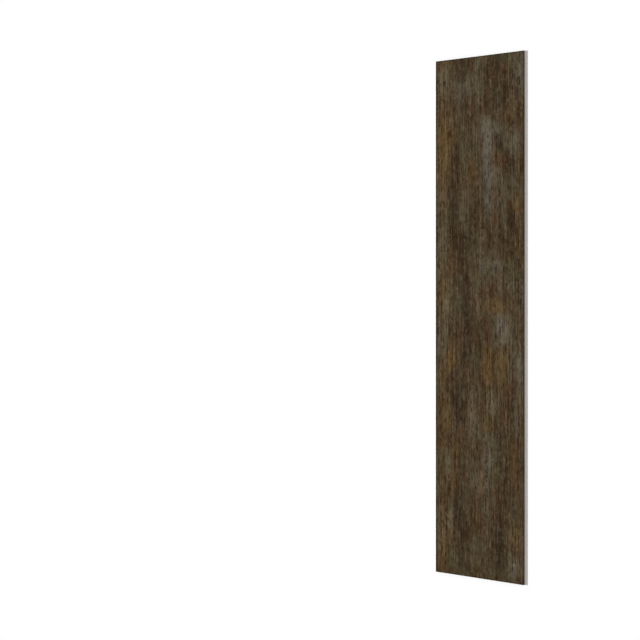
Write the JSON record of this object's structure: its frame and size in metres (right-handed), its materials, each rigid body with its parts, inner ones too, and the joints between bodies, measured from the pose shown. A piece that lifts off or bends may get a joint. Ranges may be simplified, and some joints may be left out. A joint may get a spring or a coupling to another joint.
{
  "type": "peel-and-stick vinyl plank",
  "caption": "Flat rectangular self-adhesive vinyl floor plank with a dark wood-grain face, pale square-cut sides and a flat adhesive back.",
  "frame": {"origin": "middle of the adhesive back, on the surface the plank lies on", "axes": "+X across the plank, +Y along its length and the way the grain runs, +Z out of the wood-grain face"},
  "size_m": [0.1524, 0.9144, 0.002],
  "materials": {
    "vinyl": "matte"
  },
  "bodies": {
    "root": {"plank": "vinyl"}
  },
  "joints": []
}
